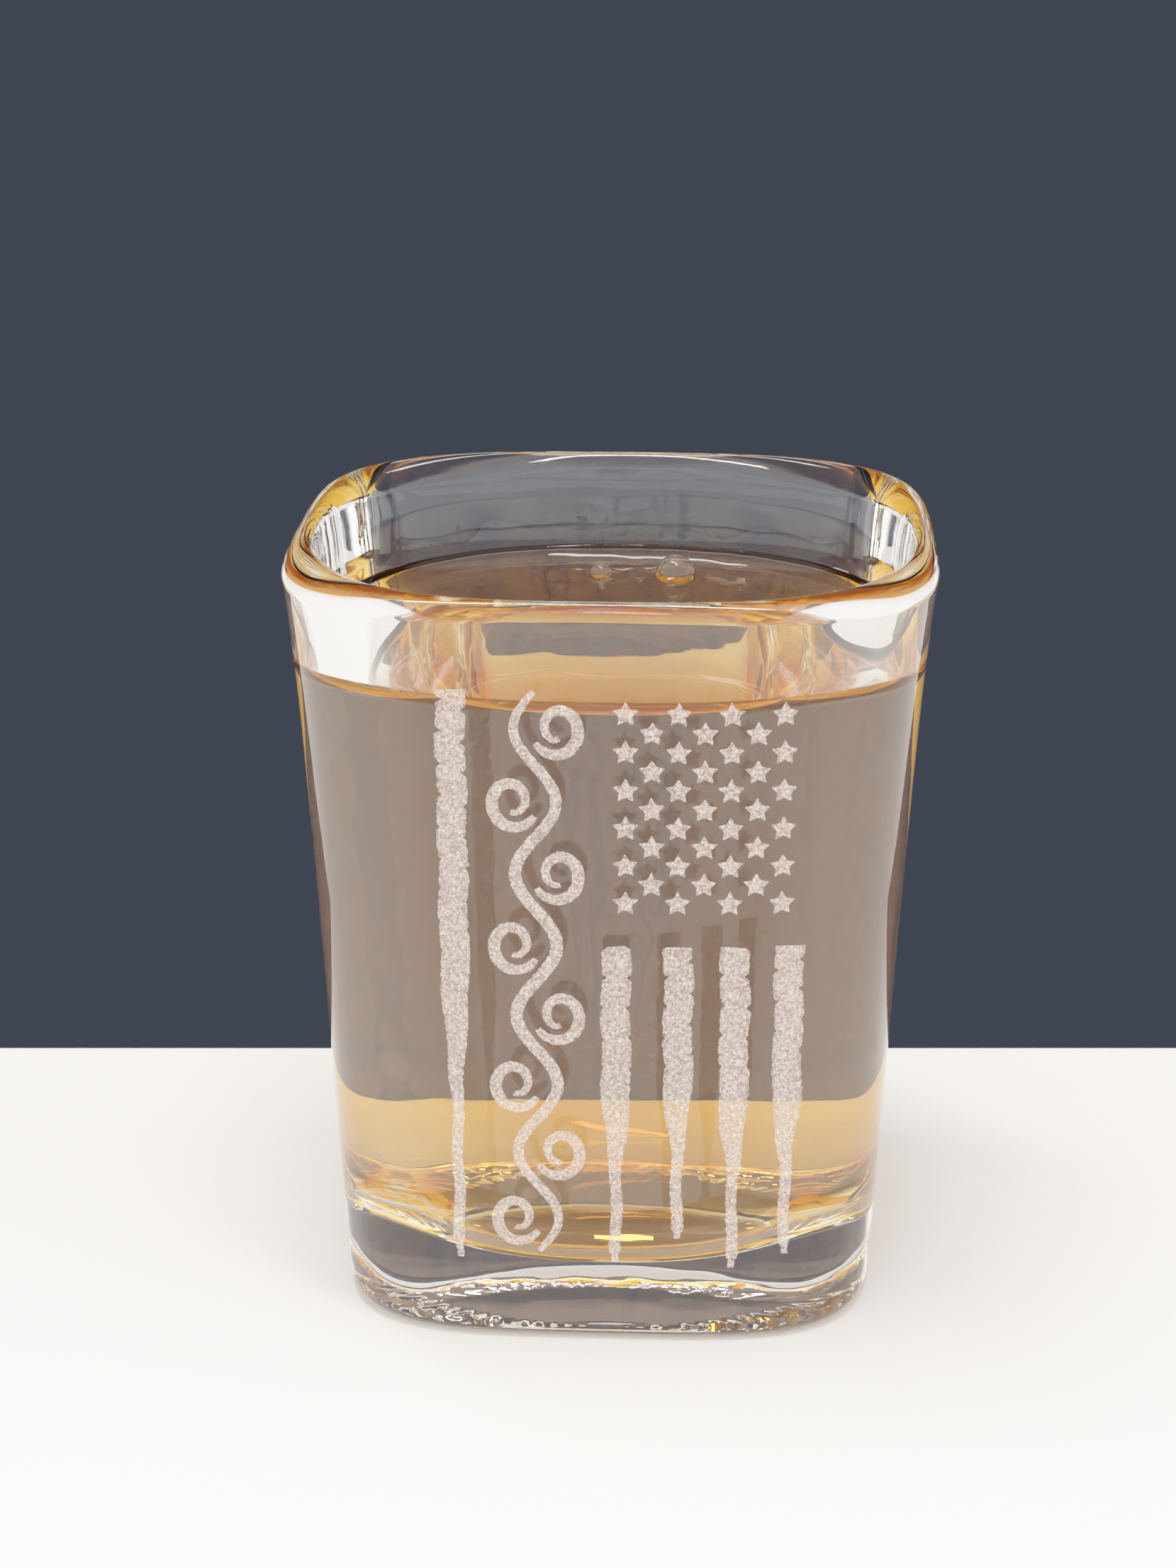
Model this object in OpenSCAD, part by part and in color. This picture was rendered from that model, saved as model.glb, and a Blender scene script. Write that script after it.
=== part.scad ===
// Square shot glass with a round bowl, holding a measure of amber spirit. Its front face carries a
// frosted engraving: a field of stars over four stripes, one tall stripe and a vine scroll.
// The foot rests on z = 0, the glass stands on the Z axis and its decorated face looks towards -Y.

/* [Outside of the glass] */
// Overall height
height = 57.2; // [50:0.2:64]
// Width across the flats at the foot, before the taper
foot_w = 40.2; // [38:0.2:42]
// Width that the taper adds between foot and rim
taper_w = 6.2; // [3:0.1:8]
// Extra width of the flare just under the rim
flare_w = 1.2; // [0:0.1:3]
// Squareness of the outside: 2 is round and higher is squarer
outer_n = 4; // [3:0.1:5]
// Radius of the heel, where the sides meet the underside
heel_r = 1.3; // [0.5:0.1:2]

/* [Bowl] */
// Width across the bowl at the rim
bowl_w = 44; // [42:0.2:45]
// Width that the bowl loses between rim and floor
bowl_taper_w = 7; // [4:0.2:10]
// Squareness of the bowl
inner_n = 2.25; // [2:0.05:3]
// Thickness of glass under the bowl, above the standing plane
floor_t = 4.1; // [3.5:0.1:8]
// Radius between the bowl's wall and its floor
bowl_r = 8; // [3:0.2:9]

/* [Underside] */
// Width of the hollow in the underside
punt_w = 34; // [26:0.5:35]
// Depth of that hollow
punt_h = 0.4; // [0.2:0.1:1.5]

/* [Drink] */
// Height of the drink's level surface
level = 48.2; // [20:0.2:52]
// How far the drink climbs the wall
climb_h = 1.7; // [0.3:0.1:2.5]

/* [Engraving] */
// Height that the frosted skin stands proud of the face
skin_t = 0.06; // [0.03:0.01:0.15]
// Tip radius of a star
star_r = 1; // [0.6:0.05:1.2]
// Distance between the star columns
star_dx = 3.64; // [3:0.02:4.2]
// Distance between the star rows
star_dz = 1.41; // [1.2:0.01:1.6]
// Width of a stripe's broad part
stripe_w = 2.1; // [1.5:0.1:3]
// Half-width of the vine stem's swing
vine_swing = 1.45; // [0.8:0.05:1.8]

/* [Hidden] */

// Mesh fineness: points round a section, and steps along each stretch of the profile
sides = 80;
wall_steps = 9;
flare_steps = 5;
rim_steps = 8;
round_steps = 6;

// Width of the curved edge where the drink climbs the wall
climb_w = 1.6 * climb_h;

// Rim and profile
flare_power = 8;
rim_a = outer_a(height - 1);
rim_r = (rim_a - bowl_w / 2) / 2;
rim_z = height - rim_r;
flare_z = 42;
punt_a = punt_w / 2;

// Engraving layout on the front face: x from the middle of the face, z above the table
skin_root = 0.05;
star_first_x = 1.65;
star_top_z = 49.3;
star_rows = 11;
star_waist = 0.45;
stripe_top_z = 31.9;
stripe_xs = [1.0, 5.4, 9.4, 13.2];
stripe_ends_z = [6.6, 8.6, 6.2, 7.1];
tall_x = -10.4;
tall_top_z = 50.9;
tall_end_z = 6.6;
stem_share = 0.4;
vine_x = -4.6;
vine_low_z = 7.4;
vine_high_z = 50.9;
vine_waves = 4;

glass_colour = [0.86, 0.9, 0.92, 0.35];
drink_colour = [0.80, 0.45, 0.12, 0.75];
frost_colour = [0.93, 0.92, 0.90];

// Half-width of the outside at height z
function outer_a(z) = foot_w / 2 + taper_w / 2 * z / height
    + flare_w / 2 * pow(z / height, flare_power);

// Half-width of the bowl at height z, without its bottom rounding
function bowl_a(z) = bowl_w / 2 - bowl_taper_w / 2 * (height - z) / (height - floor_t);

// Radius of a section of half-width a and squareness n, in direction t
function section_r(a, n, t) = a / pow(pow(abs(cos(t)), n) + pow(abs(sin(t)), n), 1 / n);

// One ring of points of the glass, as [half-width, squareness, height]
function ring(s) = [for (i = [0:sides - 1]) let (t = 360 * (i + 0.5) / sides, r = section_r(s[0], s[1], t))
    [r * cos(t), r * sin(t), s[2]]];

// Values from a to b in n steps, without a
function steps(a, b, n) = [for (i = [1:n]) a + (b - a) * i / n];

// The bottom of the bowl: wall at the rounding, then round to the floor
bowl_z = floor_t + bowl_r;
bowl_low_a = bowl_a(bowl_z);
bowl_bottom = [for (g = steps(90, 0, round_steps))
    [bowl_low_a - bowl_r + bowl_r * sin(g), inner_n, bowl_z - bowl_r * cos(g)]];

// Heights of the rings that the bowl's wall and the drink share, from the drink's edge down
wet_zs = concat([level + climb_h], steps(level, bowl_z, wall_steps));

// Sections of the glass from the underside, up the outside, over the rim and down the bowl
glass_sections = concat(
    [for (u = [0.3, 0.6, 0.85]) [punt_a * u, 2, punt_h * (1 - u * u)]],
    [[punt_a, 2, 0]],
    [for (g = [0:round_steps]) let (q = 90 * g / round_steps)
        [outer_a(heel_r) - heel_r + heel_r * sin(q), outer_n, heel_r - heel_r * cos(q)]],
    [for (z = steps(heel_r, flare_z, wall_steps)) [outer_a(z), outer_n, z]],
    [for (z = steps(flare_z, rim_z, flare_steps)) [outer_a(z), outer_n, z]],
    [for (g = steps(0, 180, rim_steps)) let (u = (1 - cos(g)) / 2)
        [bowl_w / 2 + rim_r + rim_r * cos(g), outer_n + (inner_n - outer_n) * u, rim_z + rim_r * sin(g)]],
    [for (z = wet_zs) [bowl_a(z), inner_n, z]],
    bowl_bottom);

// Sections of the drink, from its floor up the wall to its edge, then in over the level surface
drink_sections = concat(
    [for (i = [len(bowl_bottom) - 1:-1:0]) bowl_bottom[i]],
    [for (i = [len(wet_zs) - 1:-1:0]) [bowl_a(wet_zs[i]), inner_n, wet_zs[i]]],
    [for (u = [0.35, 0.7, 1])
        [bowl_a(level) - climb_w * u, inner_n, level + climb_h * pow(1 - u, 2)]]);

// A closed solid through rings of points, each end closed by a fan to a point on the axis
module lathe(sections, first_z, last_z) {
    n = len(sections);
    points = concat([[0, 0, first_z]], [for (s = sections) each ring(s)], [[0, 0, last_z]]);
    last = n * sides + 1;
    faces = concat(
        [for (i = [0:sides - 1]) [0, 1 + i, 1 + (i + 1) % sides]],
        [for (k = [0:n - 2], i = [0:sides - 1]) let (p = 1 + k * sides, q = p + sides, j = (i + 1) % sides)
            each [[p + i, q + i, q + j], [p + i, q + j, p + j]]],
        [for (i = [0:sides - 1]) let (p = 1 + (n - 1) * sides) [last, p + (i + 1) % sides, p + i]]);
    polyhedron(points, faces, convexity = 6);
}

// A point on the front face, at x across and z up, standing d proud of it
function on_face(x, z, d) = let (a = outer_a(z))
    [x, -pow(pow(a, outer_n) - pow(abs(x), outer_n), 1 / outer_n) - d, z];

// A frosted ribbon on the face along the points path, each [x, z, width]
module ribbon(path) {
    n = len(path);
    dirs = [for (i = [0:n - 1]) let (a = path[max(i - 1, 0)], b = path[min(i + 1, n - 1)],
        d = [b[0] - a[0], b[1] - a[1]]) d / norm(d)];
    corners = [for (i = [0:n - 1]) let (p = path[i], s = [-dirs[i][1], dirs[i][0]] * p[2] / 2)
        each [on_face(p[0] - s[0], p[1] - s[1], skin_t), on_face(p[0] + s[0], p[1] + s[1], skin_t),
              on_face(p[0] + s[0], p[1] + s[1], -skin_root), on_face(p[0] - s[0], p[1] - s[1], -skin_root)]];
    faces = concat(
        [[0, 2, 1], [0, 3, 2]],
        [for (i = [0:n - 2], k = [0:3]) let (p = 4 * i, q = p + 4, j = (k + 1) % 4)
            each [[p + k, p + j, q + j], [p + k, q + j, q + k]]],
        [let (q = 4 * n - 4) each [[q, q + 1, q + 2], [q, q + 2, q + 3]]]);
    polyhedron(corners, faces, convexity = 8);
}

// A frosted five-pointed star on the face, centred on x and z
module star(x, z) {
    outline = [for (i = [0:9]) let (r = i % 2 == 0 ? star_r : star_r * star_waist, t = 90 + 36 * i)
        [x + r * cos(t), z + r * sin(t)]];
    points = concat(
        [on_face(x, z, skin_t), on_face(x, z, -skin_root)],
        [for (p = outline) each [on_face(p[0], p[1], skin_t), on_face(p[0], p[1], -skin_root)]]);
    faces = [for (i = [0:9]) let (p = 2 + 2 * i, q = 2 + 2 * ((i + 1) % 10))
        each [[0, q, p], [1, p + 1, q + 1], [p, q, q + 1], [p, q + 1, p + 1]]];
    polyhedron(points, faces, convexity = 4);
}

// A worn stripe: broad above, drawn out to a narrow stem below
module stripe(x, top_z, end_z, grain) {
    count = 24;
    ribbon([for (i = [0:count]) let (u = i / count, z = top_z + (end_z - top_z) * u,
        drawn = 1 - (1 - stem_share) * pow(sin(90 * min(1, max(0, (u - 0.45) / 0.3))), 2),
        worn = 0.12 * sin(i * 131 + grain) + 0.08 * sin(i * 67 + 2 * grain),
        tip = u > 0.97 ? 0.5 : 1)
        [x + 0.08 * sin(i * 53 + grain), z, stripe_w * drawn * tip + worn]]);
}

// One curl of the vine, wound inward from the stem about [x, z]; side is 1 to the right, -1 to the left
module curl(x, z, side) {
    count = 22;
    wide_r = 2.1;
    tight_r = 0.75;
    ribbon([for (i = [0:count]) let (u = i / count, t = -150 + 430 * u,
        r = wide_r + (tight_r - wide_r) * u, w = 0.42 + 0.4 * sin(180 * pow(u, 0.6)))
        [x + side * r * cos(t) * 0.85, z + r * sin(t), w]]);
}

module glass_body() {
    color(glass_colour) lathe(glass_sections, punt_h, floor_t);
}

module drink() {
    color(drink_colour) lathe(drink_sections, floor_t, level);
}

module engraved_stars() {
    color(frost_colour)
        for (row = [0:star_rows - 1])
            for (i = [0:3 - row % 2])
                star(star_first_x + (i + (row % 2) / 2) * star_dx, star_top_z - row * star_dz);
}

module engraved_tall_stripe() {
    color(frost_colour) stripe(tall_x, tall_top_z, tall_end_z, 20);
}

module engraved_stripe(k) {
    color(frost_colour) stripe(stripe_xs[k], stripe_top_z, stripe_ends_z[k], 75 * k);
}

module engraved_vine() {
    wave = (vine_high_z - vine_low_z) / vine_waves;
    count = 16 * vine_waves;
    color(frost_colour) {
        ribbon([for (i = [0:count]) let (u = i / count, z = vine_low_z + (vine_high_z - vine_low_z) * u)
            [vine_x + vine_swing * sin(360 * vine_waves * u), z, 0.3 + 0.5 * pow(sin(180 * u), 0.3)]]);
        for (k = [0:2 * vine_waves - 1])
            let (side = k % 2 == 0 ? -1 : 1)
                curl(vine_x + side * 1.6, vine_low_z + wave * (k / 2 + 0.25), side);
    }
}

glass_body();
drink();
engraved_stars();
engraved_tall_stripe();
engraved_stripe(0);  // engraved_stripe_1
engraved_stripe(1);  // engraved_stripe_2
engraved_stripe(2);  // engraved_stripe_3
engraved_stripe(3);  // engraved_stripe_4
engraved_vine();
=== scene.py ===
"""A square shot glass of amber spirit with a frosted engraving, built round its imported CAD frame.

Lengths in this script are in millimetres, in the frame's axes, and MM turns them into metres. Lights are
placed and sized in metres.
"""

import math

import bmesh
import bpy
import numpy as np
from mathutils import Matrix, Vector, noise


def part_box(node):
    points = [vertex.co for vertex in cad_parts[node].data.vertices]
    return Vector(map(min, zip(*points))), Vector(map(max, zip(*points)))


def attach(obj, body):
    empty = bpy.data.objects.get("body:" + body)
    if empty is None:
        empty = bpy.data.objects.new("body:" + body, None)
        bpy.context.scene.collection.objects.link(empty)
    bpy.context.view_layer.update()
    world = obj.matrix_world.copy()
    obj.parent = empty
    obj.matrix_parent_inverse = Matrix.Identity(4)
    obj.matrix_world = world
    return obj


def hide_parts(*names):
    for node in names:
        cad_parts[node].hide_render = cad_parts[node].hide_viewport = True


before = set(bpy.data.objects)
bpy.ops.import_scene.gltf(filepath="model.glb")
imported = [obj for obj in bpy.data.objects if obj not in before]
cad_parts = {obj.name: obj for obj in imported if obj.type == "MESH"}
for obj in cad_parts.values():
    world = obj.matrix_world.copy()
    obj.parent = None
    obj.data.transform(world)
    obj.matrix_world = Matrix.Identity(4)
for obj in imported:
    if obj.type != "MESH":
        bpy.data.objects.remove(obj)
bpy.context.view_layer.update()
MM = 0.001

# Outside of the glass. The rim's rounding is RIM_H high, and its width is taken RIM_DROP below the top.
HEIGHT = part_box("glass_body")[1].z / MM
FOOT_W = 40.2
TAPER_W = 6.2
FLARE_W = 1.2
FLARE_POWER = 8
OUTER_N = 4.0
HEEL_R = 1.3
RIM_H = 1.5
RIM_DROP = 1

# Bowl
BOWL_W = 44.0
BOWL_TAPER_W = 7.0
INNER_N = 2.25
FLOOR_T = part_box("drink")[0].z / MM
BOWL_R = 8.0

# Underside: a round hollow with a slightly uneven face, and a stippled ring round it. PUNT_FIRST is where
# the hollow's first ring of points lies, as a share of its radius.
PUNT_W = 34.0
PUNT_H = 0.4
PUNT_FIRST = 0.06
MOULD_WAVE = 0.012
MOULD_SCALE = 0.45
STIPPLE_H = 0.2
STIPPLE_MEAN = 0.6
STIPPLE_SCALE = 0.9

# Waves that pressing and fire-polishing leave in the walls, read from a noise on a circle of WAVE_REACH
WAVE_SCALE = 0.26
WAVE_REACH = 20
BOWL_WAVE = 0.045
OUTER_WAVE = 0.014

# How finely the glass is divided: round its axis, then stretch by stretch from the hollow to the bowl's floor
SIDES = 384
PUNT_RINGS = 18
STIPPLE_RINGS = 12
HEEL_RINGS = 12
OUTSIDE_RINGS = 47
RIM_RINGS = 20
WALL_RINGS = 43
BOTTOM_RINGS = 24

# Drink. It reaches WET_OVERLAP into the glass, so that there is no air between the two.
LEVEL = 48.2
CLIMB_H = 1.7
CLIMB_FALL = 0.9
WET_OVERLAP = 0.03
WET_RINGS = 34

# Bubbles, each (x, y, radius). SWELL, SWELL_FALL, HOLLOW and FILM_LIFT are shares of that radius.
BUBBLES = {"bubble_large": (4.2, 17.3, 1.6), "bubble_small": (-1.8, 17.8, 0.9)}
SWELL = 0.32
SWELL_FALL = 0.35
HOLLOW = 1.1
HOLLOW_POWER = 0.6
RIPPLE_H = 0.03
RIPPLE_TURN = 3.6
RIPPLE_FALL = 2.5
FILM_T = 0.06
FILM_LIFT = 0.2
FILM_SIDES = 64
FILM_RINGS = 24

# Engraving: how far it stands proud, its skin's own thickness, and the grain of its top
FROST_T = 0.055
FROST_SKIN = 0.04
FROST_GRAIN = 0.02
FROST_GRAIN_SCALE = 3

# Stars, in rows of STAR_LONG_ROW and one fewer by turns. STAR_WAIST is the inner radius as a share of STAR_R.
STAR_R = 1.0
STAR_WAIST = 0.5
STAR_DX = 3.64
STAR_DZ = 1.41
STAR_FIRST_X = 1.65
STAR_TOP_Z = 49.3
STAR_ROWS = 11
STAR_LONG_ROW = 4

# Stripes: four short ones under the stars, and the tall one at the left
STRIPE_W = 2.1
STRIPE_TOP_Z = 31.9
STRIPE_XS = (1.0, 5.4, 9.4, 13.2)
STRIPE_ENDS_Z = (6.6, 8.6, 6.2, 7.1)
STRIPE_STEP = 0.14
STRIPE_SWAY = 0.08
STRIPE_WORN = 0.09
TALL_X = -10.4
TALL_TOP_Z = 50.9
TALL_END_Z = 6.6

# A stripe thins to STEM_SHARE of its width over a stretch of its length, and to TIP_SHARE of that at its tip
STEM_FROM = 0.45
STEM_OVER = 0.3
STEM_SHARE = 0.4
TIP_FROM = 0.97
TIP_SHARE = 0.6

# Nicks in a stripe's edges: depth as a share of its half-width, how often, how pointed, how soon they die
# out, and a factor for each edge that keeps the two edges' nicks apart
NICK_DEPTH = 0.45
NICKS_PER_MM = 0.42
NICK_SLOPE = 9
NICK_FADE = 1.8
NICK_PHASES = (0.37, 0.71)

# Vine: a wavy stem with a curl in each bend, whose radius shrinks from CURL_R by CURL_SHRINK
VINE_X = -4.6
VINE_LOW_Z = 7.4
VINE_HIGH_Z = 50.9
VINE_WAVES = 4
VINE_SWING = 1.45
VINE_STEPS = 300
CURL_X = 1.6
CURL_R = 2.1
CURL_SHRINK = 1.35
CURL_FLATTEN = 0.85
CURL_STEPS = 90

# Materials
GLASS_IOR = 1.5
DRINK_IOR = 1.335
DRINK_TINT = (0.91, 0.70, 0.06)
DRINK_DENSITY = 90.0

# Camera, aimed a little to the left and 18.65 degrees down
VIEW_TURN = math.radians(2.71)
VIEW_TILT = math.radians(90 - 18.65)
VIEW_PLACE = (8.9, -230.2, 114.3)
VIEW_LENS = 73.24

# Stage: a pale table with painted shade that greys it towards the back, and a dark mat that starts behind the
# glass and widens away from the camera
TABLE_A = 2500
TABLE_Z = -0.03
TABLE_NEAR_Y = -60
TABLE_FAR_Y = 30
MAT_Y = 34
MAT_FAR_Y = 1500
MAT_NEAR_A = 78
MAT_FAR_A = 470
MAT_Z = 0.05
DARK = (0.051, 0.060, 0.084)

# The dim part of the studio, behind the glass: along each axis of the direction, (axis, where it is full,
# where it has faded out). Its dark board ends at the first height and its wall starts at the second.
DIM_LIMITS = (("X", 0.80, 0.92), ("X", -0.80, -0.92), ("Y", 0.3, 0.1), ("Z", 0.84, 0.94))
BOARD_TO_WALL = (0.44, 0.52)

# Film-like tone: the scene light that comes out white, and points (share of that light, screen light)
WHITE = 2.5
TONE = [(0.024, 0.06), (0.12, 0.295), (0.22, 0.46), (0.36, 0.65), (0.5, 0.79), (0.72, 0.92)]


# ---------------------------------------------------------------- shapes by formula

def outer_a(z):
    """Half-width of the outside at height z."""
    return FOOT_W / 2 + TAPER_W / 2 * z / HEIGHT + FLARE_W / 2 * (max(z, 0) / HEIGHT) ** FLARE_POWER


def bowl_a(z):
    """Half-width of the bowl at height z, without its bottom rounding."""
    return BOWL_W / 2 - BOWL_TAPER_W / 2 * (HEIGHT - z) / (HEIGHT - FLOOR_T)


def even_angles(count):
    """Directions round an axis, evenly spaced."""
    return np.linspace(0, 2 * np.pi, count, endpoint=False)


def ring(angles, a, n, z, wave=0.0):
    """Points of one section: half-width a, squareness n, height z, and waves of that height in mm."""
    cos, sin = np.cos(angles), np.sin(angles)
    r = a / (np.abs(cos) ** n + np.abs(sin) ** n) ** (1 / n)
    if wave:
        r = r + wave * np.array([noise.noise(Vector((WAVE_REACH * c, WAVE_REACH * s, z)) * WAVE_SCALE)
                                 for c, s in zip(cos, sin)])
    return np.c_[r * cos, r * sin, np.full(len(angles), z)]


def bowl_bottom(grow=0.0):
    """Sections of the bowl's rounding, from its wall to its floor, grown outward by grow."""
    z0 = FLOOR_T + BOWL_R
    a0 = bowl_a(z0)
    turns = np.radians(np.linspace(90, 0, BOTTOM_RINGS + 1)[1:])
    return [(a0 - BOWL_R + (BOWL_R + grow) * math.sin(g), INNER_N, z0 - (BOWL_R + grow) * math.cos(g),
             BOWL_WAVE * math.sin(g)) for g in turns]


def glass_sections():
    """Sections of the glass: hollow, stippled ring, heel, outside, rim, bowl."""
    rows = [(PUNT_W / 2 * u, 2, PUNT_H * (1 - u * u)) for u in np.linspace(PUNT_FIRST, 1, PUNT_RINGS)]
    base_a = outer_a(HEEL_R) - HEEL_R
    rows += [(PUNT_W / 2 + (base_a - PUNT_W / 2) * u, 2 + (OUTER_N - 2) * u, 0)
             for u in np.linspace(0, 1, STIPPLE_RINGS + 2)[1:-1]]
    rows += [(base_a + HEEL_R * math.sin(q), OUTER_N, HEEL_R * (1 - math.cos(q)))
             for q in np.radians(np.linspace(0, 90, HEEL_RINGS))]
    rim_r = (outer_a(HEIGHT - RIM_DROP) - BOWL_W / 2) / 2
    rim_z = HEIGHT - RIM_H
    rows += [(outer_a(z), OUTER_N, z, OUTER_WAVE) for z in np.linspace(HEEL_R, rim_z, OUTSIDE_RINGS + 1)[1:]]
    for g in np.radians(np.linspace(0, 180, RIM_RINGS + 1)[1:]):
        u = (1 - math.cos(g)) / 2
        rows.append((BOWL_W / 2 + rim_r * (1 + math.cos(g)), OUTER_N + (INNER_N - OUTER_N) * u,
                     rim_z + RIM_H * math.sin(g), OUTER_WAVE + (BOWL_WAVE - OUTER_WAVE) * u))
    rows += [(bowl_a(z), INNER_N, z, BOWL_WAVE)
             for z in np.linspace(rim_z, FLOOR_T + BOWL_R, WALL_RINGS + 1)[1:]]
    return rows + bowl_bottom()


def mesh_object(name, points, faces):
    """A mesh object from points in millimetres."""
    mesh = bpy.data.meshes.new(name)
    mesh.from_pydata([tuple(float(c) * MM for c in p) for p in points], [],
                     [tuple(int(v) for v in f) for f in faces])
    obj = bpy.data.objects.new(name, mesh)
    bpy.context.scene.collection.objects.link(obj)
    return obj


def lathe(name, sections, first_z, last_z, angles, place=(0, 0, 0)):
    """A closed smooth mesh through the sections, each end closed by a fan to the axis."""
    sides = len(angles)
    points = np.vstack([[[0, 0, first_z]], *[ring(angles, *s) for s in sections], [[0, 0, last_z]]]) + place
    last = len(sections) * sides + 1
    i = np.arange(sides)
    j = (i + 1) % sides
    faces = [(0, 1 + b, 1 + a) for a, b in zip(i, j)]
    for k in range(len(sections) - 1):
        p = 1 + k * sides
        faces += [(p + a, p + b, p + sides + b, p + sides + a) for a, b in zip(i, j)]
    p = 1 + (len(sections) - 1) * sides
    faces += [(last, p + a, p + b) for a, b in zip(i, j)]
    obj = mesh_object(name, points, faces)
    bm = bmesh.new()
    bm.from_mesh(obj.data)
    bmesh.ops.recalc_face_normals(bm, faces=bm.faces)
    bm.to_mesh(obj.data)
    bm.free()
    obj.data.shade_smooth()
    return obj


# ---------------------------------------------------------------- materials

def new_material(name):
    """A material with its Principled shader; returns (material, node tree, Principled node)."""
    mat = bpy.data.materials.new(name)
    mat.use_nodes = True
    nt = mat.node_tree
    return mat, nt, nt.nodes["Principled BSDF"]


def grain(nt, size, detail=3.0):
    """The output of a noise whose features are size millimetres across."""
    place = nt.nodes.new("ShaderNodeTexCoord")
    tex = nt.nodes.new("ShaderNodeTexNoise")
    tex.inputs["Scale"].default_value = 1 / (size * MM)
    tex.inputs["Detail"].default_value = detail
    nt.links.new(place.outputs["Object"], tex.inputs["Vector"])
    return tex.outputs["Fac"]


def ramp(nt, source, target, stops):
    """Maps source to target through stops, each (place, value or colour)."""
    node = nt.nodes.new("ShaderNodeValToRGB")
    elements = node.color_ramp.elements
    while len(elements) < len(stops):
        elements.new(0.5)
    for element, (place, value) in zip(elements, stops):
        element.position = place
        element.color = (*value, 1) if isinstance(value, tuple) else (value, value, value, 1)
    nt.links.new(source, node.inputs["Fac"])
    nt.links.new(node.outputs["Color"], target)


def bump(nt, p, source, height, strength):
    """Roughens the shading normal by source, up to height in millimetres."""
    node = nt.nodes.new("ShaderNodeBump")
    node.inputs["Distance"].default_value = height * MM
    node.inputs["Strength"].default_value = strength
    nt.links.new(source, node.inputs["Height"])
    nt.links.new(node.outputs["Normal"], p.inputs["Normal"])


def clear_material(name, ior, size, low, high):
    """A clear material whose tint drifts from low to high over patches of that size in millimetres."""
    mat, nt, p = new_material(name)
    ramp(nt, grain(nt, size), p.inputs["Base Color"], [(0.3, low), (0.7, high)])
    p.inputs["Roughness"].default_value = 0.0
    p.inputs["IOR"].default_value = ior
    p.inputs["Transmission Weight"].default_value = 1.0
    return mat, nt, p


def clear_glass():
    """Pressed glass, very faintly green, with a fine unevenness left by polishing."""
    mat, nt, p = clear_material("clear_glass", GLASS_IOR, 9, (0.965, 0.978, 0.972), (0.985, 0.99, 0.985))
    bump(nt, p, grain(nt, 2.5), 0.004, 0.5)
    return mat


def spirit():
    """The drink: nearly clear at its surface, amber by the way light travels through it."""
    mat, nt, p = clear_material("spirit", DRINK_IOR, 6, (1.0, 0.995, 0.985), (1.0, 1.0, 1.0))
    absorb = nt.nodes.new("ShaderNodeVolumeAbsorption")
    absorb.inputs["Color"].default_value = (*DRINK_TINT, 1)
    absorb.inputs["Density"].default_value = DRINK_DENSITY
    nt.links.new(absorb.outputs["Volume"], nt.nodes["Material Output"].inputs["Volume"])
    return mat


def bubble_film():
    """The thin skin of drink over a bubble."""
    return clear_material("bubble_film", DRINK_IOR, 0.8, (1.0, 0.95, 0.88), (1.0, 0.99, 0.97))[0]


def frosted_glass():
    """Glass roughened by engraving: a pale grain that lets some of what is behind show. The grain is partly
    the frost's own uneven tone and partly painted glints, since its palest flecks stand in for sparkle.
    """
    mat, nt, p = new_material("frosted_glass")
    fine = grain(nt, 0.17, 4)
    # Painted glints: the palest colour of this grain stands in for sparkle, beside the frost's own uneven
    # tone
    ramp(nt, fine, p.inputs["Base Color"],
         [(0.36, (0.47, 0.38, 0.34)), (0.5, (0.68, 0.575, 0.52)), (0.64, (0.94, 0.86, 0.80))])
    ramp(nt, grain(nt, 0.3, 3), p.inputs["Alpha"], [(0.34, 0.2), (0.5, 0.38), (0.62, 0.5)])
    ramp(nt, fine, p.inputs["Roughness"], [(0.3, 0.75), (0.7, 0.35)])
    bump(nt, p, fine, 0.05, 0.8)
    p.inputs["IOR"].default_value = GLASS_IOR
    return mat


# ---------------------------------------------------------------- glass

def work_underside(obj):
    """Makes the hollow slightly uneven, and lifts alternate small patches of the ring round it."""
    for v in obj.data.vertices[1:]:
        row, side = divmod(v.index - 1, SIDES)
        if row < PUNT_RINGS - 1:
            wave = noise.noise(v.co / MM * MOULD_SCALE) * math.sin(math.pi * (row + 1) / PUNT_RINGS)
            v.co.z = max(0, v.co.z + MOULD_WAVE * wave * MM)
        elif PUNT_RINGS <= row < PUNT_RINGS + STIPPLE_RINGS and (row + side // 2) % 2:
            v.co.z = max(0, STIPPLE_H * (STIPPLE_MEAN + noise.noise(v.co / MM * STIPPLE_SCALE)) * MM)


glass = lathe("glass", glass_sections(), PUNT_H, FLOOR_T, even_angles(SIDES))
glass.data.materials.append(clear_glass())
work_underside(glass)
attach(glass, "root")
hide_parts("glass_body")


# ---------------------------------------------------------------- drink and bubbles

def drink_angles():
    """Directions round the axis, closer together on the side where the bubbles float."""
    bubble_side = math.radians(84)
    crowding = 0.85
    u = even_angles(SIDES)
    return u - crowding * np.sin(u - bubble_side)


def surface_h(x, y, from_wall):
    """Height of the drink above its level: it climbs the wall and the bubbles, with faint ripples."""
    h = CLIMB_H * math.exp(-from_wall / CLIMB_FALL)
    for bx, by, r in BUBBLES.values():
        q = math.hypot(x - bx, y - by)
        if q > r:
            out = q - r
            h += SWELL * r * math.exp(-out / (SWELL_FALL * r))
            h += RIPPLE_H * math.cos(out * RIPPLE_TURN) * math.exp(-out / RIPPLE_FALL)
        else:
            h += SWELL * r + RIPPLE_H - HOLLOW * r * (1 - (q / r) ** 2) ** HOLLOW_POWER
    return h


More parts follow.
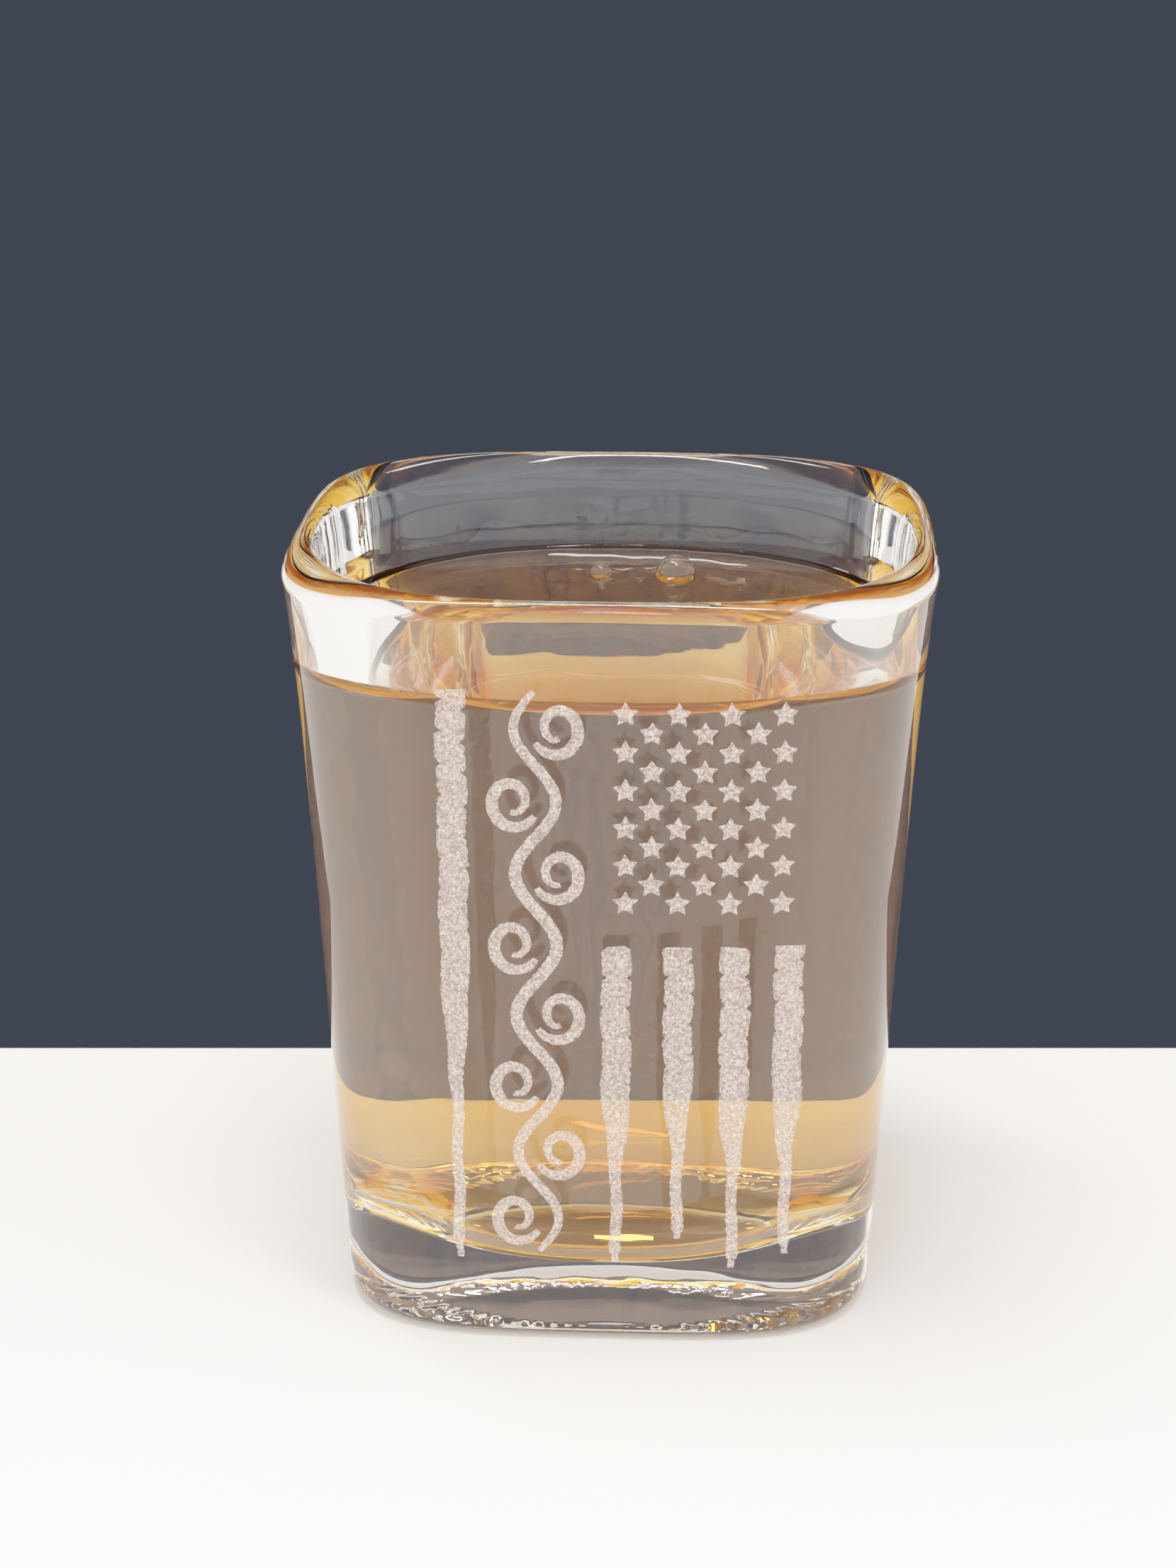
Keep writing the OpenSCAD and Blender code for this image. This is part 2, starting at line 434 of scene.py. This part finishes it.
def shape_surface(obj, first, from_walls):
    """Moves the drink's surface rings, whose points start at first, to their heights."""
    for v in obj.data.vertices[first:-1]:
        from_wall = from_walls[(v.index - first) // SIDES]
        v.co.z = (LEVEL + surface_h(v.co.x / MM, v.co.y / MM, from_wall)) * MM


# Rings over the surface, by their distance from the wall: close together as far in as the bubbles reach
from_walls = np.r_[np.linspace(0.04, 6.5, 90), np.linspace(7.2, bowl_a(LEVEL) - 0.7, 14)]
drink_sections = bowl_bottom(WET_OVERLAP)[::-1]
drink_sections += [(bowl_a(z) + WET_OVERLAP, INNER_N, z, BOWL_WAVE)
                   for z in np.linspace(FLOOR_T + BOWL_R, LEVEL + CLIMB_H, WET_RINGS)]
surface_start = 1 + len(drink_sections) * SIDES
drink_sections += [(bowl_a(LEVEL) + WET_OVERLAP - d, INNER_N, LEVEL) for d in from_walls]
drink = lathe("spirit", drink_sections, FLOOR_T - WET_OVERLAP, LEVEL, drink_angles())
drink.data.materials.append(spirit())
shape_surface(drink, surface_start, from_walls)
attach(drink, "root")
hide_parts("drink")


def dome_sections(r, turns):
    """Sections of a dome r high, at those turns from its top, widened so that its foot is r from its axis."""
    return [(r * math.sin(g) / math.sin(turns[-1]), 2, r * math.cos(g)) for g in turns]


film = bubble_film()
for name, (x, y, r) in BUBBLES.items():
    turns = np.radians(np.linspace(4, 82, FILM_RINGS))
    sections = dome_sections(r, turns) + dome_sections(r - FILM_T, turns)[::-1]
    dome = lathe(name, sections, r, r - FILM_T, even_angles(FILM_SIDES), (x, y, LEVEL + FILM_LIFT * r))
    dome.data.materials.append(film)
    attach(dome, "root")


# ---------------------------------------------------------------- engraving

def on_face(x, z, d):
    """A point on the front face, x across and z up, standing d proud of it."""
    return x, -(outer_a(z) ** OUTER_N - abs(x) ** OUTER_N) ** (1 / OUTER_N) - d, z


def frost_top(x, z):
    """The same, at the grainy top of the frosted skin."""
    return on_face(x, z, FROST_T + FROST_GRAIN * noise.noise(Vector((x, 0, z)) * FROST_GRAIN_SCALE))


def rag(x, z, seed):
    """A steady wobble, mostly between -1 and 1, that makes an edge look ground and not cut."""
    coarse = noise.noise(Vector((x * 2.2, seed, z * 2.2)))
    fine = noise.noise(Vector((x * 6, seed + 9, z * 6)))
    return coarse + 0.5 * fine


def star_rim(seed):
    """Points round a star with slightly blunt corners, measured from its middle."""
    turn = 90 + 5 * noise.noise(Vector((seed, 0, 0)))
    radii = [STAR_R * (0.97 + 0.1 * noise.noise(Vector((seed, 4, 0)))), STAR_R * STAR_WAIST]
    corners = []
    for k in range(10):
        t = math.radians(turn + 36 * k)
        corners.append(Vector((math.cos(t), math.sin(t))) * radii[k % 2])
    return [corners[k].lerp(corners[(k + 1) % 10], s) for k in range(10) for s in (0.1, 0.35, 0.65, 0.9)]


def nick(u, z, phase):
    """Share of a stripe's half-width that is nicked away at height z, u of the way down it."""
    from_nick = abs((z * NICKS_PER_MM + phase) % 1 - 0.5)
    return NICK_DEPTH * max(0, 1 - from_nick * NICK_SLOPE) * max(0, 1 - u * NICK_FADE)


def stripe_path(x, top_z, end_z, seed):
    """A worn stripe for Frost.ribbon: broad and nicked above, drawn out to a narrow stem below."""
    count = int((top_z - end_z) / STRIPE_STEP)
    path = []
    for i in range(count + 1):
        u = i / count
        z = top_z + (end_z - top_z) * u
        thinned = math.sin(math.pi / 2 * min(1, max(0, (u - STEM_FROM) / STEM_OVER))) ** 2
        half = STRIPE_W / 2 * (1 - (1 - STEM_SHARE) * thinned) * (1 if u < TIP_FROM else TIP_SHARE)
        left, right = [nick(u, z, seed * phase) for phase in NICK_PHASES]
        path.append((x + STRIPE_SWAY * math.sin(z + seed), z,
                     half * (1 - left) + STRIPE_WORN * rag(x, z, seed),
                     half * (1 - right) + STRIPE_WORN * rag(x, z, seed + 5)))
    return path


def stem_path():
    """The vine's stem for Frost.ribbon: a wave up the face, thinner at both ends."""
    worn = 0.05
    path = []
    for i in range(VINE_STEPS + 1):
        u = i / VINE_STEPS
        z = VINE_LOW_Z + (VINE_HIGH_Z - VINE_LOW_Z) * u
        half = 0.15 + 0.3 * math.sin(math.pi * u) ** 0.3
        x = VINE_X + VINE_SWING * math.sin(2 * math.pi * VINE_WAVES * u)
        path.append((x, z, half + worn * rag(x, z, 1), half + worn * rag(x, z, 7)))
    return path


def curl_path(k):
    """The vine's curl number k for Frost.ribbon, counted upward and on alternate sides of the stem."""
    worn = 0.04
    side = 1 if k % 2 else -1
    wave_h = (VINE_HIGH_Z - VINE_LOW_Z) / VINE_WAVES
    path = []
    for i in range(CURL_STEPS + 1):
        u = i / CURL_STEPS
        t = math.radians(-150 + 430 * u)
        r = CURL_R - CURL_SHRINK * u
        half = 0.2 + 0.24 * math.sin(math.pi * u ** 0.6)
        x = VINE_X + side * (CURL_X + r * math.cos(t) * CURL_FLATTEN)
        z = VINE_LOW_Z + wave_h * (k / 2 + 0.25) + r * math.sin(t)
        path.append((x, z, half + worn * rag(x, z, k), half + worn * rag(x, z, k + 5)))
    return path


class Frost:
    """Collects patches of frosted skin, then makes them one piece."""

    def __init__(self):
        self.points = []
        self.faces = []

    def ribbon(self, path, across=5):
        """A strip along path, each (x, z, half-width left, half-width right)."""
        n = len(path)
        start = len(self.points)
        for i, (x, z, left, right) in enumerate(path):
            a, b = path[max(i - 1, 0)], path[min(i + 1, n - 1)]
            d = Vector((b[0] - a[0], b[1] - a[1])).normalized()
            for s in np.linspace(-right, left, across):
                self.points.append(frost_top(x - d.y * s, z + d.x * s))
        for r in range(n - 1):
            for c in range(across - 1):
                p = start + r * across + c
                self.faces.append((p, p + across, p + across + 1, p + 1))

    def star(self, x, z, seed):
        """A five-pointed star, slightly worn, as rings of points round its middle."""
        start = len(self.points)
        rim = star_rim(seed)
        count = len(rim)
        self.points.append(frost_top(x, z))
        for share in (0.35, 0.7, 1.0):
            for p in rim:
                q = p * share * (1 + 0.04 * rag(x + p.x, z + p.y, seed))
                self.points.append(frost_top(x + q.x, z + q.y))
        for i in range(count):
            j = (i + 1) % count
            self.faces.append((start, start + 1 + i, start + 1 + j))
            for k in (0, 1):
                p = start + 1 + k * count
                self.faces.append((p + i, p + count + i, p + count + j, p + j))

    def piece(self, name, material, *nodes):
        """Makes the piece, gives it its thickness and hides the CAD nodes that it stands for."""
        obj = mesh_object(name, self.points, self.faces)
        obj.data.shade_smooth()
        obj.data.materials.append(material)
        skin = obj.modifiers.new("skin", "SOLIDIFY")
        skin.thickness = FROST_SKIN * MM
        skin.offset = -1
        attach(obj, "root")
        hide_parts(*nodes)


frost_material = frosted_glass()

stars = Frost()
for row in range(STAR_ROWS):
    short = row % 2
    for i in range(STAR_LONG_ROW - short):
        x = STAR_FIRST_X + (i + short / 2) * STAR_DX
        stars.star(x, STAR_TOP_Z - row * STAR_DZ, row * 4.3 + i * 1.7)
stars.piece("frosted_stars", frost_material, "engraved_stars")

tall = Frost()
tall.ribbon(stripe_path(TALL_X, TALL_TOP_Z, TALL_END_Z, 2.0))
tall.piece("frosted_tall_stripe", frost_material, "engraved_tall_stripe")

for k, (x, end_z) in enumerate(zip(STRIPE_XS, STRIPE_ENDS_Z)):
    stripe = Frost()
    stripe.ribbon(stripe_path(x, STRIPE_TOP_Z, end_z, 3.0 + 1.3 * k))
    stripe.piece(f"frosted_stripe_{k + 1}", frost_material, f"engraved_stripe_{k + 1}")

vine = Frost()
vine.ribbon(stem_path())
for k in range(2 * VINE_WAVES):
    vine.ribbon(curl_path(k))
vine.piece("frosted_vine", frost_material, "engraved_vine")

# ---------------------------------------------------------------- camera

cam_data = bpy.data.cameras.new("camera")
cam_data.lens = VIEW_LENS
cam_data.sensor_width = 36
cam_data.clip_start = 0.01
cam_data.clip_end = 50
cam = bpy.data.objects.new("camera", cam_data)
cam.location = Vector(VIEW_PLACE) * MM
cam.rotation_euler = (VIEW_TILT, 0, VIEW_TURN)
bpy.context.scene.collection.objects.link(cam)
bpy.context.scene.camera = cam


# ---------------------------------------------------------------- stage

def plane(name, corners, z):
    """A flat stage surface through the corners, square to the camera's heading."""
    turn = Matrix.Rotation(VIEW_TURN, 3, "Z")
    obj = mesh_object(name, [turn @ Vector((x, y, z)) for x, y in corners], [(0, 1, 2, 3)])
    return obj


def table_top(near, far):
    """Pale matt board with painted shade: its colour greys towards the back, standing in for the shade near
    the dark backdrop.
    """
    mat, nt, p = new_material("table_top")
    place = nt.nodes.new("ShaderNodeTexCoord")
    split = nt.nodes.new("ShaderNodeSeparateXYZ")
    nt.links.new(place.outputs["Object"], split.inputs[0])
    depth = nt.nodes.new("ShaderNodeMapRange")
    depth.inputs["From Min"].default_value = TABLE_NEAR_Y * MM
    depth.inputs["From Max"].default_value = TABLE_FAR_Y * MM
    nt.links.new(split.outputs["Y"], depth.inputs["Value"])
    ramp(nt, depth.outputs["Result"], p.inputs["Base Color"], [(0.0, near), (1.0, far)])
    p.inputs["Roughness"].default_value = 0.6
    return mat


def glow(name, colour):
    """An even colour that the lights don't change, for the backdrop."""
    mat, nt, p = new_material(name)
    p.inputs["Base Color"].default_value = (0, 0, 0, 1)
    p.inputs["Specular IOR Level"].default_value = 0.0
    p.inputs["Emission Color"].default_value = (*colour, 1)
    p.inputs["Emission Strength"].default_value = 1.0
    return mat


table = plane("table", [(-TABLE_A, -TABLE_A), (TABLE_A, -TABLE_A), (TABLE_A, TABLE_A), (-TABLE_A, TABLE_A)],
              TABLE_Z)
# The far colour is painted shade, not the board's own colour
table.data.materials.append(table_top((0.90, 0.88, 0.86), (0.83, 0.805, 0.79)))
backdrop = plane("backdrop", [(-MAT_NEAR_A, MAT_Y), (MAT_NEAR_A, MAT_Y),
                              (MAT_FAR_A, MAT_FAR_Y), (-MAT_FAR_A, MAT_FAR_Y)], MAT_Z)
backdrop.data.materials.append(glow("backdrop_dark", DARK))


# ---------------------------------------------------------------- light

def area_light(name, place, aim, size, watts, colour):
    """A rectangular light at place, facing aim, both in metres."""
    data = bpy.data.lights.new(name, "AREA")
    data.shape = "RECTANGLE"
    data.size, data.size_y = size
    data.energy = watts
    data.color = colour
    obj = bpy.data.objects.new(name, data)
    obj.location = place
    obj.rotation_euler = (Vector(aim) - Vector(place)).to_track_quat("-Z", "Y").to_euler()
    bpy.context.scene.collection.objects.link(obj)


def fade_in(nt, source, none, full):
    """A smooth step from 0 where source is none to 1 where it is full."""
    node = nt.nodes.new("ShaderNodeMapRange")
    node.interpolation_type = "SMOOTHSTEP"
    node.inputs["From Min"].default_value = none
    node.inputs["From Max"].default_value = full
    nt.links.new(source, node.inputs["Value"])
    return node.outputs["Result"]


def product(nt, a, b):
    """The product of two outputs."""
    node = nt.nodes.new("ShaderNodeMath")
    node.operation = "MULTIPLY"
    nt.links.new(a, node.inputs[0])
    nt.links.new(b, node.inputs[1])
    return node.outputs[0]


def studio_world(bright, dim, dark):
    """Soft light from the front, sides and above; behind, a dark board low down and a dim wall over it."""
    world = bpy.data.worlds.new("world")
    world.use_nodes = True
    nt = world.node_tree
    way = nt.nodes.new("ShaderNodeTexCoord")
    split = nt.nodes.new("ShaderNodeSeparateXYZ")
    nt.links.new(way.outputs["Generated"], split.inputs[0])
    fades = [fade_in(nt, split.outputs[axis], none, full) for axis, full, none in DIM_LIMITS]
    behind = fades[0]
    for fade in fades[1:]:
        behind = product(nt, behind, fade)
    mix = nt.nodes.new("ShaderNodeMix")
    mix.data_type = "RGBA"
    mix.inputs["A"].default_value = (*bright, 1)
    ramp(nt, split.outputs["Z"], mix.inputs["B"], list(zip(BOARD_TO_WALL, (dark, dim))))
    nt.links.new(behind, mix.inputs["Factor"])
    nt.links.new(mix.outputs["Result"], nt.nodes["Background"].inputs["Color"])
    bpy.context.scene.world = world


def tone_curve():
    """Puts the film-like tone on top of the Standard transform."""
    view = bpy.context.scene.view_settings
    view.view_transform = "Standard"
    view.use_curve_mapping = True
    mapping = view.curve_mapping
    mapping.white_level = (WHITE, WHITE, WHITE)
    curve = mapping.curves[3]
    curve.points[0].location = (0, 0)
    curve.points[1].location = (1, 1)
    for x, y in TONE:
        curve.points.new(x, y)
    mapping.update()


area_light("rear", (0, 0.42, 0.36), (0, 0, 0.04), (0.07, 0.035), 0.06, (1, 0.99, 0.97))
area_light("overhead", (-0.03, -0.03, 0.5), (0, 0, 0), (0.36, 0.05), 2.1, (1, 0.985, 0.96))
studio_world((2.4, 2.33, 2.24), (0.27, 0.21, 0.19), DARK)
tone_curve()

# Light passes many walls of glass and drink
cycles = bpy.context.scene.cycles
cycles.max_bounces = 32
cycles.transmission_bounces = 32
cycles.glossy_bounces = 16
cycles.transparent_max_bounces = 24
